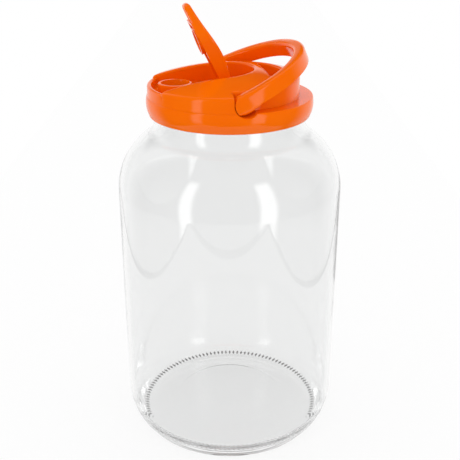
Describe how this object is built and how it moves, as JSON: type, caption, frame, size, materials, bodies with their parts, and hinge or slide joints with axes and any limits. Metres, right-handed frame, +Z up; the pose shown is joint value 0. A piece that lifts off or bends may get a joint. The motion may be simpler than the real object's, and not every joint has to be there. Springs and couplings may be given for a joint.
{
  "type": "glass storage jar with pouring lid",
  "caption": "Wide-mouth glass storage jar with a screw-on pouring lid, a hinged flip cap over the pouring hole and a swing handle.",
  "frame": {"origin": "centre of the foot ring, on the surface the jar stands on", "axes": "+Z up along the jar's axis; -X is the direction the jar pours in; the cap's and the handle's axes run along Y"},
  "size_m": [0.1548, 0.1548, 0.3074],
  "materials": {
    "clear_glass": "clear, smooth",
    "liner_foam": "soft foamed sheet",
    "orange_lid_plastic": "moulded, glossy",
    "orange_cap_plastic": "moulded, glossy",
    "orange_handle_plastic": "moulded, glossy"
  },
  "bodies": {
    "jar": {"glass_jar": "clear_glass"},
    "liner": {"lid_liner": "liner_foam"},
    "lid": {"screw_lid": "orange_lid_plastic"},
    "cap": {"flip_cap": "orange_cap_plastic"},
    "handle": {"carry_handle": "orange_handle_plastic"}
  },
  "joints": [
    {"name": "lid_lift", "type": "slide", "parent": "jar", "child": "liner", "axis": [0, 0, 1], "range_m": [0, 0.0052]},
    {"name": "lid_turn", "type": "hinge", "parent": "liner", "child": "lid", "pos_m": [0, 0, 0.2438], "axis": [0, 0, 1], "range_deg": [0, 360]},
    {"name": "cap_hinge", "type": "hinge", "parent": "lid", "child": "cap", "pos_m": [-0.002, 0, 0.2543], "axis": [0, 1, 0], "range_deg": [-58, 15]},
    {"name": "handle_pivot", "type": "hinge", "parent": "lid", "child": "handle", "pos_m": [0, 0, 0.2531], "axis": [0, -1, 0], "range_deg": [-23.8, 66.2]}
  ],
  "couplings": [
    {"joint": "lid_lift", "follows": "lid_turn", "m_per_rad": 0.00080851}
  ]
}
